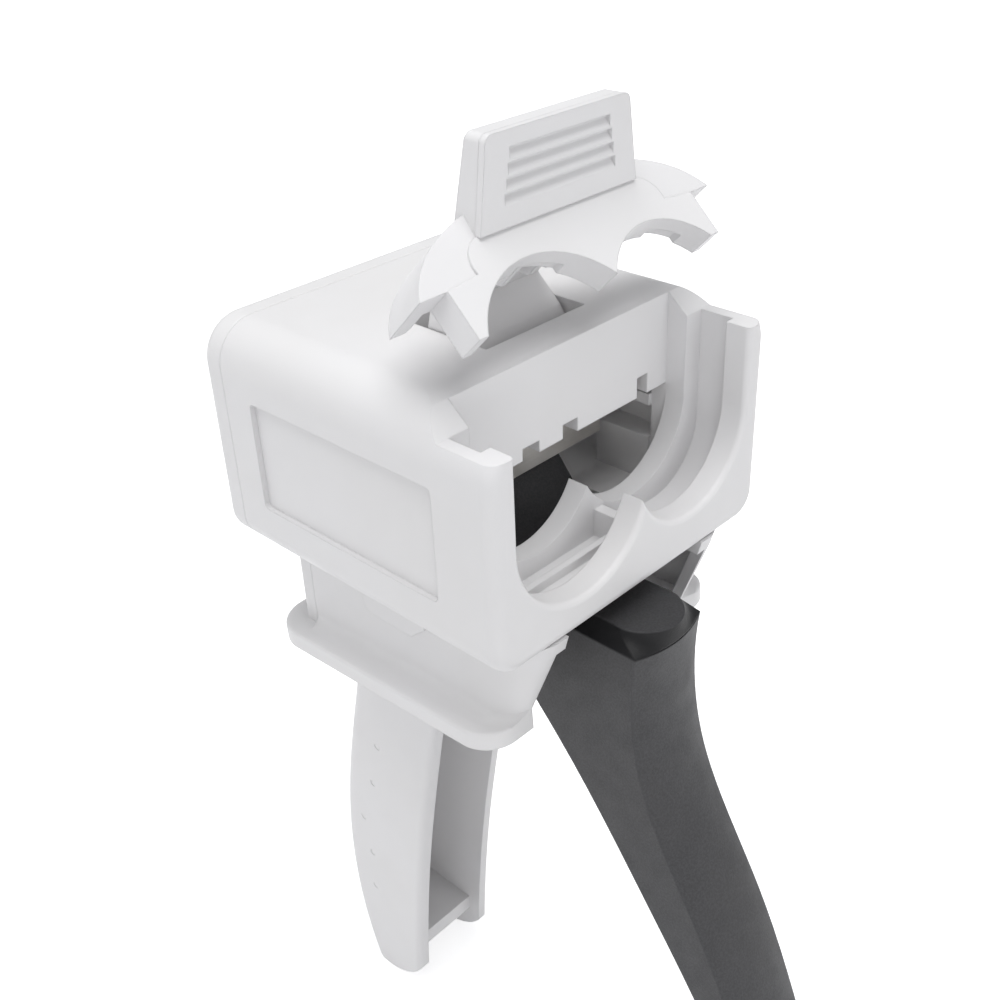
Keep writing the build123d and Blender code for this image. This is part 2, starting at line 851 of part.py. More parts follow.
def handle_profile(front_shift, rear_shift, drop):
    """Side view of the handle, with its front and rear edges moved along Y and its top lowered."""
    front_y = handle_y + front_shift
    rear_y = handle_y + rear_shift
    front = [(front_y, guard_underside(front_y) - drop)]
    front += [(front_y + y, z) for y, z in handle_front_curve]
    foot = [front[-1]] + [(rear_y + y, z) for y, z in handle_foot_curve]
    rear_top = rear_y + handle_top_depth
    rear = [foot[-1]] + [(rear_y + y, z) for y, z in handle_rear_curve]
    rear += [(rear_top, guard_underside(rear_top) - drop)]
    with BuildLine() as edge:
        Spline(*front)
        Spline(*foot)
        Spline(*rear)
        Line(rear[-1], front[0])
    make_face(edge.edges())


def upright_edges(grip):
    """Long edges down both outer sides of the handle."""
    return [
        edge
        for edge in grip.edges()
        if abs(abs(edge.center().X) - handle_half_width) < 0.01 and edge.bounding_box().size.Z > 20
    ]


with BuildPart() as handle:
    with BuildSketch(Plane.YZ):
        handle_profile(0, 0, 0)
    extrude(amount=handle_half_width, both=True)
    middle_y = handle_y + handle_top_depth
    fillet([edge for edge in upright_edges(handle) if edge.center().Y > middle_y], handle_round)
    fillet([edge for edge in upright_edges(handle) if edge.center().Y < middle_y], handle_lip_round)
    inner_half = handle_half_width - handle_wall
    with BuildSketch(Plane.YZ):
        handle_profile(-10, -handle_web, handle_floor)
    extrude(amount=inner_half, both=True, mode=Mode.SUBTRACT)
    # Plate across the foot of the channel; below it only the side walls go on
    plate_low = handle_plate_z - handle_plate_thickness
    block(
        (-inner_half - 1, inner_half + 1),
        (handle_y + handle_plate_front, handle_y + handle_rear_curve[0][0] - handle_web),
        (plate_low, handle_plate_z),
    )
    block(
        (-inner_half, inner_half),
        (handle_y, handle_y + 2 * handle_top_depth),
        (min(z for y, z in handle_foot_curve) - 1, plate_low),
        Mode.SUBTRACT,
    )
    for y in handle_screw_y:
        screw_top = guard_underside(y)
        round_along_z(
            screw_radius + press_gap, 0, y, (screw_top - handle_floor, screw_top + 1), Mode.SUBTRACT
        )
    for y, z in handle_dimples:
        dimple_reach = (-handle_half_width, -handle_half_width + dimple_depth)
        round_along_x(dimple_radius, dimple_reach, handle_y + y, z, Mode.SUBTRACT)

with BuildPart() as handle_screws:
    for y in handle_screw_y:
        screw((0, y, lower_floor), (0, 0, -1), handle_screw_length)


# Trigger, one lever with its head inside the body and its grip in front of the handle
nose_y = drive_plate_front + drive_plate_thickness + side_gap + nose_radius
cap_bottom = cap_top - cap_height
grip_half = trigger_width / 2
ridge_points = [(ridge_start, cap_bottom), *ridge_curve, (trigger_tip_y, trigger_tip_z)]
tip_back = (trigger_tip_y + trigger_tip_width, trigger_tip_z - 0.5)

with BuildPart() as trigger:
    with BuildSketch(Plane.YZ):
        with BuildLine():
            Spline(*ridge_points)
            Line(ridge_points[-1], tip_back)
            Spline(tip_back, *back_curve)
            Polyline(
                back_curve[-1],
                back_shoulder,
                (pivot_y + trigger_heel_depth, pivot_z - trigger_heel_drop),
                (pivot_y, cap_top),
                (pivot_y - trigger_hub_radius, cap_top),
                (cap_back, cap_bottom),
                ridge_points[0],
            )
        make_face()
    extrude(amount=grip_half, both=True)
    # Rounded front of the grip, carried down along its ridge
    with BuildLine(Plane.YZ) as ridge:
        Spline(*ridge_points)
    with BuildSketch(Plane(origin=ridge.line @ 0, x_dir=(1, 0, 0), z_dir=ridge.line % 0)):
        with BuildLine():
            Polyline((-grip_half, 0), (-grip_half, -1), (grip_half, -1), (grip_half, 0))
            ThreePointArc((grip_half, 0), (0, trigger_crown), (-grip_half, 0))
        make_face()
    sweep(path=ridge.line)
    # Flat cap with a round front, wider at its foot than at its top
    with BuildSketch(Plane.XY.offset(cap_bottom)):
        with BuildLine():
            Line((-grip_half, cap_back), (-grip_half, ridge_start))
            ThreePointArc(
                (-grip_half, ridge_start), (0, ridge_start - trigger_crown), (grip_half, ridge_start)
            )
            Line((grip_half, ridge_start), (grip_half, cap_back))
            Line((grip_half, cap_back), (-grip_half, cap_back))
        make_face()
    with BuildSketch(Plane.XY.offset(cap_top)):
        with BuildLine():
            Line((-cap_half_width, cap_back), (-cap_half_width, 0))
            Spline(
                (-cap_half_width, 0),
                (-0.74 * cap_half_width, 0.86 * (ridge_start - trigger_crown) + 1.4),
                (0, ridge_start - trigger_crown + 0.2),
                (0.74 * cap_half_width, 0.86 * (ridge_start - trigger_crown) + 1.4),
                (cap_half_width, 0),
            )
            Line((cap_half_width, 0), (cap_half_width, cap_back))
            Line((cap_half_width, cap_back), (-cap_half_width, cap_back))
        make_face()
    loft()
    block((-cap_half_width, cap_half_width), (cap_back - 2, pivot_y - 4), (cap_bottom, cap_top))
    # Head between the rods, with a round nose that bears on the drive plate, and a wider hub
    head_front = nose_y - nose_radius
    head_foot = drive_plate_bottom - trigger_head_chamfer
    with BuildSketch(Plane.YZ):
        with BuildLine():
            Polyline(
                (head_front, nose_z),
                (head_front, head_foot),
                (pivot_y - trigger_neck_front, pivot_z + trigger_hub_radius - 0.5),
                (pivot_y + trigger_neck_back, pivot_z),
                (pivot_y + trigger_hub_radius + trigger_neck_back, pivot_z + trigger_heel_drop),
                (nose_y + nose_radius, nose_z),
                close=True,
            )
        make_face()
        with Locations((nose_y, nose_z)):
            Circle(nose_radius)
    extrude(amount=trigger_head_half, both=True)
    with BuildSketch(Plane.YZ):
        with Locations((pivot_y, pivot_z)):
            Circle(trigger_hub_radius)
        with Locations((nose_y - 2.2, nose_z - 6.5)):
            Circle(nose_radius)
        make_hull()
    extrude(amount=trigger_hub_half, both=True)
    bush_bore = trigger_bush_radius + press_gap
    round_along_x(bush_bore, (-trigger_hub_half, trigger_hub_half), pivot_y, pivot_z, Mode.SUBTRACT)

with BuildPart() as trigger_bushes:
    for side in (-1, 1):
        bush_inner = trigger_hub_half - trigger_bush_length
        round_along_x(trigger_bush_radius, span(side, bush_inner, trigger_hub_half), pivot_y, pivot_z)
        round_along_x(
            trigger_hub_radius - 1, span(side, trigger_hub_half, trigger_hub_half + 1), pivot_y, pivot_z
        )
        round_along_x(
            trigger_pin_radius + running_gap,
            span(side, bush_inner, trigger_hub_half + 1),
            pivot_y,
            pivot_z,
            Mode.SUBTRACT,
        )

with BuildPart() as trigger_pin:
    pin_half = lower_half_width - lower_wall - side_gap
    round_along_x(trigger_pin_radius, (-pin_half, pin_half), pivot_y, pivot_z)

# Return spring of the trigger, drawn as the sleeve that its coils fill
with BuildPart() as trigger_spring:
    spring_from = trigger_hub_half + 1 + side_gap
    spring_to = spring_from + trigger_spring_length
    sleeve_radius = trigger_pin_radius + side_gap + trigger_spring_wall
    round_along_x(sleeve_radius, (spring_from, spring_to), pivot_y, pivot_z)
    round_along_x(trigger_pin_radius + side_gap, (spring_from, spring_to), pivot_y, pivot_z, Mode.SUBTRACT)

# Drive plate with its guide pins and return springs
with BuildPart() as drive_plate:
    back = drive_plate_front + drive_plate_thickness
    block(
        (-drive_plate_half, drive_plate_half),
        (drive_plate_front, back),
        (drive_plate_bottom, drive_plate_top),
    )
    for side in (-1, 1):
        block(
            span(side, drive_ear_inner, drive_plate_half), (drive_plate_front, back), (0, drive_ear_top)
        )
        round_along_y(
            rod_bore + rod_clearance, side * barrel_offset, (drive_plate_front, back), 0, Mode.SUBTRACT
        )
        round_along_y(
            guide_pin_radius + running_gap,
            side * guide_pin_x,
            (drive_plate_front, back),
            guide_pin_z,
            Mode.SUBTRACT,
        )

with BuildPart() as guide_pins:
    for side in (-1, 1):
        round_along_y(
            guide_pin_radius,
            side * guide_pin_x,
            (cross_wall_back - spring_pocket - 1, bulkhead_back),
            guide_pin_z,
        )

with BuildPart() as drive_springs:
    spring_back = drive_plate_front - running_gap
    for side in (-1, 1):
        place = side * guide_pin_x
        round_along_y(drive_spring_radius, place, (cross_wall_back - spring_pocket, spring_back), guide_pin_z)
        round_along_y(
            drive_spring_radius - spring_wire,
            place,
            (cross_wall_back - spring_pocket, spring_back),
            guide_pin_z,
            Mode.SUBTRACT,
        )

# Brake plate on its release lever, with pin and springs
brake_back = brake_plate_front + brake_plate_thickness
with BuildPart() as brake_plate:
    block(
        (-brake_plate_half, brake_plate_half),
        (brake_plate_front, brake_back),
        (brake_plate_bottom, brake_plate_top),
    )
    for side in (-1, 1):
        round_along_y(
            rod_bore + brake_hole_gap, side * barrel_offset, (brake_plate_front, brake_back), 0, Mode.SUBTRACT
        )

release_back = body_depth + release_reach
stem_low = release_stem_z - release_stem_thickness / 2
stem_high = release_stem_z + release_stem_thickness / 2
with BuildPart() as release_lever:
    round_along_x(release_hub_radius, (-release_half_width, release_half_width), release_y, release_z)
    block(
        (-release_half_width, release_half_width),
        (brake_back, brake_back + release_back_thickness),
        (release_z, stem_high),
    )
    block((-release_stem_half, release_stem_half), (brake_back, release_back), (stem_low, stem_high))
    block(
        (-release_stem_half, release_stem_half),
        (release_back - release_back_thickness, release_back),
        (stem_low - release_pad_drop, stem_high + release_pad_rise),
    )
    round_along_x(
        release_pin_radius + running_gap,
        (-release_half_width, release_half_width),
        release_y,
        release_z,
        Mode.SUBTRACT,
    )

with BuildPart() as release_pin:
    round_along_x(release_pin_radius, (-release_ear[1], release_ear[1]), release_y, release_z)

with BuildPart() as brake_springs:
    for side in (-1, 1):
        place = side * brake_spring_x
        round_along_y(brake_spring_radius, place, (bulkhead_back, brake_plate_front), brake_spring_z)
        round_along_y(
            brake_spring_radius - spring_wire + screw_gap,
            place,
            (bulkhead_back, brake_plate_front),
            brake_spring_z,
            Mode.SUBTRACT,
        )

# Latch, drawn closed on planes that are turned open about its hinge
turn = radians(open_angle)


def latch_point(y, z):
    """Place in the open pose of a point of the closed latch."""
    dy = y - hinge_y
    dz = z - hinge_z
    return (0, hinge_y + dy * cos(turn) + dz * sin(turn), hinge_z - dy * sin(turn) + dz * cos(turn))


def latch_across(y):
    """Plane along the latch's plate, at the closed pose's distance y behind the front face."""
    return Plane(origin=latch_point(y, 0), x_dir=(1, 0, 0), z_dir=(0, -cos(turn), sin(turn)))


latch_side = Plane(origin=latch_point(0, 0), x_dir=(0, cos(turn), -sin(turn)), z_dir=(1, 0, 0))
latch_flat = Plane(origin=latch_point(0, 0), x_dir=(1, 0, 0), z_dir=(0, sin(turn), cos(turn)))
plate_back = plate_front + plate_thickness
shell_front = plate_front + shell_front_step
shell_rear = shell_front + shell_depth
wing_bottom = ledge_height + wing_gap
plate_top = wing_bottom + plate_rise
leg_half_width = mouth_half - leg_gap
leg_tip = wing_bottom - leg_length
arches = (
    (arch_left_x, arch_left_radius, left_step),
    (arch_right_x, arch_right_radius, right_step),
)


def shell_outline(inset):
    """Domed cross-section of the latch shell, drawn in by an inset."""
    half = half_width - wing_inset - inset
    crown = wing_bottom + shell_rise - inset
    brow = crown - 0.25 * shell_rise
    with BuildLine() as edge:
        Spline(
            (-half, wing_bottom),
            (-0.9 * half, crown - 0.62 * shell_rise),
            (-0.69 * half, brow),
            (0, crown),
            (0.69 * half, brow),
            (0.9 * half, crown - 0.62 * shell_rise),
            (half, wing_bottom),
        )
        Line((half, wing_bottom), (-half, wing_bottom))
    make_face(edge.edges())


def pad_outline():
    """Outline of the pad on the thumb tab, which widens towards its foot."""
    pad_foot = tab_foot + pad_margin
    with BuildLine() as edge:
        Polyline(
            (-tab_foot_half, pad_foot),
            (-tab_top_half, tab_top),
            (tab_top_half, tab_top),
            (tab_foot_half, pad_foot),
            close=True,
        )
    make_face(edge.edges())


# Arm from the plate back to the hinge, with the tongue that drops into the deck recess
arm_low = deck_height + arm_gap
arm_high = arm_low + arm_height
tongue_front = recess_start + tongue_gap
arm_knee = hinge_y - 2.5 * hinge_barrel_radius
with BuildPart() as latch_arm:
    with BuildSketch(latch_side):
        with BuildLine():
            Polyline(
                (plate_back - 1, arm_high),
                (shell_rear, arm_high),
                (arm_knee, arm_high - 0.25 * arm_height),
                (hinge_y - 0.5 * hinge_barrel_radius, deck_height),
                (hinge_y + hinge_barrel_radius, hinge_z),
                (hinge_y, hinge_z - hinge_barrel_radius),
                (tongue_front + 0.5, hinge_z),
                (tongue_front, hinge_z + 2),
                (tongue_front, arm_low),
                (plate_back - 1, arm_low),
                close=True,
            )
        make_face()
    extrude(amount=hinge_barrel_half, both=True)
    with BuildSketch(latch_flat):
        with BuildLine():
            Polyline(
                (-arm_front_half, 0),
                (-arm_front_half, arm_straight),
                (-hinge_barrel_half, arm_flare),
                (-hinge_barrel_half, hinge_y + 2 * hinge_barrel_radius),
                (hinge_barrel_half, hinge_y + 2 * hinge_barrel_radius),
                (hinge_barrel_half, arm_flare),
                (arm_front_half, arm_straight),
                (arm_front_half, 0),
                close=True,
            )
        make_face()
    extrude(amount=2 * deck_height, mode=Mode.INTERSECT)
    round_along_x(hinge_barrel_radius, (-hinge_barrel_half, hinge_barrel_half), hinge_y, hinge_z)

with BuildPart() as latch:
    # Plate with the two arches that hold the barrels down
    seam_shoulder = seam_half - seam_round_width
    with BuildSketch(latch_across(plate_front)):
        with BuildLine():
            Polyline(
                (-leg_half_width, leg_tip),
                (-leg_half_width, wing_bottom),
                (-seam_half, wing_bottom + pad_margin),
            )
            ThreePointArc(
                (-seam_half, wing_bottom + pad_margin),
                (-seam_half + 0.2 * seam_round_width, plate_top - 0.45 * seam_round_width),
                (-seam_shoulder, plate_top),
            )
            Line((-seam_shoulder, plate_top), (seam_shoulder, plate_top))
            ThreePointArc(
                (seam_shoulder, plate_top),
                (seam_half - 0.2 * seam_round_width, plate_top - 0.45 * seam_round_width),
                (seam_half, wing_bottom + pad_margin),
            )
            Polyline(
                (seam_half, wing_bottom + pad_margin),
                (leg_half_width, wing_bottom),
                (leg_half_width, leg_tip),
            )
            Line((leg_half_width, leg_tip), (-leg_half_width, leg_tip))
        make_face()
    extrude(amount=-plate_thickness)
    # Domed shell over the plate, hollow behind it
    with BuildSketch(latch_across(shell_front)):
        shell_outline(0)
    extrude(amount=shell_front - shell_rear)
    with BuildSketch(latch_across(plate_back)):
        shell_outline(shell_thickness)
    extrude(amount=plate_back - shell_rear, mode=Mode.SUBTRACT)
    for x, radius, step in arches:
        with BuildSketch(latch_across(plate_front)):
            with Locations((x, arch_rise)):
                Circle(radius)
        extrude(amount=-plate_thickness, mode=Mode.SUBTRACT)
        with BuildSketch(latch_across(plate_back - arch_step_length)):
            with Locations((x, arch_rise)):
                Circle(radius + arch_step_depth)
            with Locations(((step[0] + step[1]) / 2, arch_rise + radius / 2)):
                Rectangle(step[1] - step[0], 2 * radius, mode=Mode.INTERSECT)
        extrude(amount=-arch_step_length, mode=Mode.SUBTRACT)
    add(latch_arm.part)
    # Gussets under the arm, behind the plate
    for x in gusset_x:
        for side in (-1, 1):
            with BuildSketch(latch_side.offset(side * x)):
                with BuildLine():
                    Polyline(
                        (plate_back - 1, arm_low + 0.5),
                        (plate_back - 1, arm_low - gusset_height),
                        (plate_back + gusset_length, arm_low - gusset_height),
                        (plate_back + gusset_length + gusset_height, arm_low + 0.5),
                        close=True,
                    )
                make_face()
            extrude(amount=gusset_thickness / 2, both=True)
    round_along_x(
        hinge_pin_radius + running_gap,
        (-hinge_barrel_half, hinge_barrel_half),
        hinge_y,
        hinge_z,
        Mode.SUBTRACT,
    )
    # Thumb tab, upright in the open pose
    tab_back = tab_front + grip_thickness
    with BuildSketch(Plane.XY.offset(tab_foot - 1)):
        with Locations((0, tab_back + (tab_foot_depth - grip_thickness) / 2)):
            Rectangle(2 * tab_foot_half, tab_foot_depth - grip_thickness)
    with BuildSketch(Plane.XY.offset(tab_top)):
        with Locations((0, tab_back + (tab_top_depth - grip_thickness) / 2)):
            Rectangle(2 * tab_top_half, tab_top_depth - grip_thickness)
    loft()
    tab_corners = latch.edges().filter_by(Axis.Y).group_by(Axis.Z)[-1]
    fillet(tab_corners, tab_corner)
    with BuildSketch(across(tab_front)):
        pad_outline()
    extrude(amount=-grip_thickness, mode=Mode.SUBTRACT)

# Pad on the front of the thumb tab, with four louvre grooves for the thumb
with BuildPart() as latch_grip:
    with BuildSketch(across(tab_front)) as pad:
        pad_outline()
        fillet(pad.vertices().group_by(Axis.Y)[-1], tab_corner)
    extrude(amount=-grip_thickness)
    groove_pitch = (groove_top - groove_foot) / groove_count
    for step in range(groove_count):
        low = groove_foot + step * groove_pitch
        with BuildSketch(Plane.YZ):
            with BuildLine():
                Polyline(
                    (tab_front - 0.1, low + groove_pitch - groove_land),
                    (tab_front + grip_sink, low + groove_pitch - groove_land - 0.1),
                    (tab_front + grip_sink, low + 0.75 * groove_pitch - groove_land),
                    (tab_front - 0.1, low),
                    close=True,
                )
            make_face()
        lean = (low - groove_foot) / (groove_top - groove_foot)
        groove_half = groove_foot_half + (groove_top_half - groove_foot_half) * lean
        extrude(amount=groove_half, both=True, mode=Mode.SUBTRACT)

with BuildPart() as latch_pin:
    round_along_x(hinge_pin_radius, (-ear_outer, ear_outer), hinge_y, hinge_z)

pieces = {
    "front_housing": front_housing,
    "rear_cover": rear_cover,
    "rear_cover_screws": rear_cover_screws,
    "rod_bushes": rod_bushes,
    "lower_housing": lower_housing,
    "housing_screws": housing_screws,
    "lower_rear_cover": lower_rear_cover,
    "lower_cover_screws": lower_cover_screws,
    "handle": handle,
    "handle_screws": handle_screws,
    "trigger": trigger,
    "trigger_bushes": trigger_bushes,
    "trigger_pin": trigger_pin,
    "trigger_spring": trigger_spring,
    "drive_plate": drive_plate,
    "guide_pins": guide_pins,
    "drive_springs": drive_springs,
    "brake_plate": brake_plate,
    "release_lever": release_lever,
    "release_pin": release_pin,
    "brake_springs": brake_springs,
    "latch": latch,
    "latch_grip": latch_grip,
    "latch_pin": latch_pin,
}
for label, piece in pieces.items():
    piece.part.label = label
    export_step(piece.part, f"parts/{label}.step")
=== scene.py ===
import json
from math import cos, radians, sin

import bpy
from mathutils import Matrix, Vector


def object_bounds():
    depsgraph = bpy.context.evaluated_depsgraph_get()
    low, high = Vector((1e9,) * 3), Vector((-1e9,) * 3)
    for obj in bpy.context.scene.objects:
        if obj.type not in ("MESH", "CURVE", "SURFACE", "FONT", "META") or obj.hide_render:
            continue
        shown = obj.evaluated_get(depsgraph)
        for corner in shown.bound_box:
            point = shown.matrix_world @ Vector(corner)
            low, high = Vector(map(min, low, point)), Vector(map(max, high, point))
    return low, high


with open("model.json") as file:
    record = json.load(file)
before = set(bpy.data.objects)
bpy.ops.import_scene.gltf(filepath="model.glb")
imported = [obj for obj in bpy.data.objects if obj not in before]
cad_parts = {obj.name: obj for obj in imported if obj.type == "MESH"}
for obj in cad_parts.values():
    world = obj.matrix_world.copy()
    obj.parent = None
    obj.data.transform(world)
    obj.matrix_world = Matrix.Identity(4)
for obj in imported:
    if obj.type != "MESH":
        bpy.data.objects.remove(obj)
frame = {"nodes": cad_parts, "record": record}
cad_low, cad_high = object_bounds()
nodes = frame["nodes"]

MM = 0.001

# Camera at the photograph's viewpoint, in the part's own frame, with its place in millimetres
CAMERA_PLACE = (-132.66, -101.71, 98.70)
CAMERA_AZIMUTH = 44.92
CAMERA_ELEVATION = 31.04
CAMERA_ROLL = -2.61
CAMERA_LENS = 44.6
SENSOR_WIDTH = 36.0
CLIP_START = 0.005
CLIP_END = 50.0

# Softboxes as name, place, target, width and height in metres, and power in watts
BODY = (0.0, 0.03, -0.02)
GRIP = (0.0, 0.05, -0.09)
SOFTBOXES = (
    ("top_softbox", (-0.1, 0.0, 0.95), BODY, (0.9, 0.9), 8.0),
    ("left_softbox", (-0.95, 0.4, 0.3), BODY, (0.7, 0.9), 1.2),
    ("front_softbox", (0.3, -1.0, 0.27), BODY, (0.8, 0.8), 1.9),
    ("low_softbox", (-0.75, -0.7, -0.05), GRIP, (1.0, 0.3), 1.5),
)
WORLD_STRENGTH = 0.4
WORLD_COLOUR = (0.98, 0.99, 1.0)

# Floor: its tones, and how its glow rises from near the object to far from it
FLOOR_HALF = 3.0
FLOOR_TONES = ((0.80, 0.80, 0.81), (0.83, 0.83, 0.84))
GLOW_NEAR = (0.25, 0.62)
GLOW_FAR = (1.0, 1.0)

# Moulded plastics: size and depth of the grain, edge rounding, how far the painted highlight along edges
# and the speckles are lighter
WHITE_STYLE = {
    "grain_size": 0.35 * MM,
    "grain_depth": 0.012 * MM,
    "edge_radius": 0.35 * MM,
    "highlight_and_speckle_lift": 1.04,
    "speckle": 0.0,
    "specular": 0.45,
}
GREY_STYLE = {
    "grain_size": 0.4 * MM,
    "grain_depth": 0.03 * MM,
    "edge_radius": 0.4 * MM,
    "highlight_and_speckle_lift": 1.7,
    "speckle": 0.5,
    "specular": 0.3,
}
# Painted shade in corners and crevices: how far the occlusion reaches, and how much it darkens the colour
CREVICE_SHADE_REACH = 6.0 * MM
CREVICE_SHADE_TONE = 0.9
METAL_EDGE_RADIUS = 0.15 * MM

# Painted shade: a near-black band painted round the trigger's cap, between its foot and its top, where
# the cap's bevel lies in shade
CAP_FOOT = -25.9 * MM
CAP_TOP = -22.6 * MM
SHADE_BAND_BLUR = 0.2 * MM
SHADE_BAND_COLOUR = (0.006, 0.006, 0.007)


def add_camera():
    azimuth, elevation, roll = map(radians, (CAMERA_AZIMUTH, CAMERA_ELEVATION, CAMERA_ROLL))
    back = Vector((-sin(azimuth) * cos(elevation), -cos(azimuth) * cos(elevation), sin(elevation)))
    right = (-back).cross(Vector((0, 0, 1))).normalized()
    up = right.cross(-back)
    rolled_right = right * cos(roll) + up * sin(roll)
    rolled_up = up * cos(roll) - right * sin(roll)
    data = bpy.data.cameras.new("camera")
    data.lens = CAMERA_LENS
    data.sensor_width = SENSOR_WIDTH
    data.clip_start = CLIP_START
    data.clip_end = CLIP_END
    camera = bpy.data.objects.new("camera", data)
    turn = Matrix((rolled_right, rolled_up, back)).transposed()
    camera.matrix_world = Matrix.Translation(Vector(CAMERA_PLACE) * MM) @ turn.to_4x4()
    bpy.context.scene.collection.objects.link(camera)
    bpy.context.scene.camera = camera


class Shader:
    """A material whose nodes are added one by one."""

    def __init__(self, name):
        self.material = bpy.data.materials.new(name)
        self.material.use_nodes = True
        self.tree = self.material.node_tree
        self.tree.nodes.clear()
        self.output = self.add("ShaderNodeOutputMaterial")
        self.coordinates = self.add("ShaderNodeTexCoord").outputs["Object"]

    def add(self, kind, **settings):
        node = self.tree.nodes.new(kind)
        for key, value in settings.items():
            setattr(node, key, value)
        return node

    def join(self, source, target):
        self.tree.links.new(source, target)

    def noise(self, scale, detail=3.0, roughness=0.5, stretch=None):
        node = self.add("ShaderNodeTexNoise")
        node.inputs["Scale"].default_value = scale
        node.inputs["Detail"].default_value = detail
        node.inputs["Roughness"].default_value = roughness
        if stretch is None:
            self.join(self.coordinates, node.inputs["Vector"])
        else:
            mapping = self.add("ShaderNodeMapping")
            mapping.inputs["Scale"].default_value = stretch
            self.join(self.coordinates, mapping.inputs["Vector"])
            self.join(mapping.outputs["Vector"], node.inputs["Vector"])
        return node.outputs["Fac"]

    def spread(self, source, low, high, to_low, to_high):
        """Stretch of a value's range from low to high onto another range."""
        node = self.add("ShaderNodeMapRange")
        node.inputs["From Min"].default_value = low
        node.inputs["From Max"].default_value = high
        node.inputs["To Min"].default_value = to_low
        node.inputs["To Max"].default_value = to_high
        self.join(source, node.inputs["Value"])
        return node.outputs["Result"]

    def math(self, operation, first, second):
        node = self.add("ShaderNodeMath", operation=operation)
        self.join(first, node.inputs[0])
        if isinstance(second, float):
            node.inputs[1].default_value = second
        else:
            self.join(second, node.inputs[1])
        return node.outputs[0]

    def blend(self, factor, first, second):
        node = self.add("ShaderNodeMix", data_type="RGBA")
        self.join(factor, node.inputs["Factor"])
        for value, socket in ((first, node.inputs["A"]), (second, node.inputs["B"])):
            if isinstance(value, tuple):
                socket.default_value = (*value, 1.0)
            else:
                self.join(value, socket)
        return node.outputs["Result"]

    def bump(self, height, distance, normal):
        node = self.add("ShaderNodeBump")
        node.inputs["Distance"].default_value = distance
        node.inputs["Strength"].default_value = 1.0
        self.join(height, node.inputs["Height"])
        self.join(normal, node.inputs["Normal"])
        return node.outputs["Normal"]

    def rounded(self, radius):
        node = self.add("ShaderNodeBevel", samples=4)
        node.inputs["Radius"].default_value = radius
        return node.outputs["Normal"]

    def edges(self, rounded_normal):
        """Where the rounded normal leaves the true one: 1 along edges and 0 on open surfaces."""
        geometry = self.add("ShaderNodeNewGeometry")
        dot = self.add("ShaderNodeVectorMath", operation="DOT_PRODUCT")
        self.join(rounded_normal, dot.inputs[0])
        self.join(geometry.outputs["Normal"], dot.inputs[1])
        return self.spread(dot.outputs["Value"], 1.0, 0.82, 0.0, 1.0)

    def painted_crevice_shade(self, distance):
        """Mask for painted shade from ambient occlusion: 0 in the open and 1 deep in a corner, where the
        colour is darkened to stand in for shade.
        """
        node = self.add("ShaderNodeAmbientOcclusion", samples=6)
        node.inputs["Distance"].default_value = distance
        return self.spread(node.outputs["AO"], 0.9, 0.25, 0.0, 1.0)

    def between(self, low, high, blur):
        """1 where the height lies between two limits and 0 elsewhere."""
        place = self.add("ShaderNodeSeparateXYZ")
        self.join(self.coordinates, place.inputs["Vector"])
        above = self.spread(place.outputs["Z"], low - blur, low + blur, 0.0, 1.0)
        below = self.spread(place.outputs["Z"], high - blur, high + blur, 1.0, 0.0)
        return self.math("MULTIPLY", above, below)

    def surface(self, base, roughness, normal, specular=0.5, metallic=0.0):
        node = self.add("ShaderNodeBsdfPrincipled")
        self.join(base, node.inputs["Base Color"])
        self.join(roughness, node.inputs["Roughness"])
        self.join(normal, node.inputs["Normal"])
        node.inputs["Specular IOR Level"].default_value = specular
        node.inputs["Metallic"].default_value = metallic
        self.join(node.outputs["BSDF"], self.output.inputs["Surface"])
        return self.material


def moulded_plastic(name, style, colour, warm, roughness, painted_shade_band=False):
    """Moulded plastic: fine spark-eroded grain, slow drift of tone and gloss, a painted highlight along
    edges and painted shade in crevices.
    """
    shader = Shader(name)
    drift = shader.noise(28.0, detail=4.0)
    cloud = shader.noise(240.0, detail=2.0)
    grain = shader.noise(1.0 / style["grain_size"], detail=5.0, roughness=0.62)
    rounded = shader.rounded(style["edge_radius"])
    edge = shader.edges(rounded)
    # Painted shade: the colour is darkened in corners and crevices where shade falls
    crevice_shade = shader.painted_crevice_shade(CREVICE_SHADE_REACH)
    shaded_crevice_colour = tuple(value * CREVICE_SHADE_TONE for value in warm)
    highlight_and_speckle_colour = tuple(min(1.0, value * style["highlight_and_speckle_lift"]) for value in colour)
    tone = shader.blend(shader.spread(drift, 0.35, 0.65, 0.0, 1.0), colour, warm)
    tone = shader.blend(shader.math("MULTIPLY", crevice_shade, 0.5), tone, shaded_crevice_colour)
    # Painted highlight: edges are lightened where light catches their rounding
    tone = shader.blend(shader.math("MULTIPLY", edge, 0.6), tone, highlight_and_speckle_colour)
    tone = shader.blend(shader.spread(grain, 0.4, 0.62, 0.0, style["speckle"]), tone, highlight_and_speckle_colour)
    # Painted shade: a near-black band on the cap's bevel stands in for the shade there
    if painted_shade_band:
        tone = shader.blend(shader.between(CAP_FOOT, CAP_TOP, SHADE_BAND_BLUR), tone, SHADE_BAND_COLOUR)
    gloss = shader.spread(cloud, 0.3, 0.7, roughness - 0.05, roughness + 0.05)
    gloss = shader.math("ADD", gloss, shader.math("MULTIPLY", edge, -0.1))
    normal = shader.bump(grain, style["grain_depth"], rounded)
    return shader.surface(tone, gloss, normal, specular=style["specular"])


def white_plastic(name, colour=(0.79, 0.785, 0.795), warm=(0.775, 0.768, 0.772), roughness=0.42):
    return moulded_plastic(name, WHITE_STYLE, colour, warm, roughness)


def grey_plastic(name, painted_shade_band=False):
    return moulded_plastic(name, GREY_STYLE, (0.044, 0.044, 0.047), (0.05, 0.049, 0.051), 0.52, painted_shade_band)


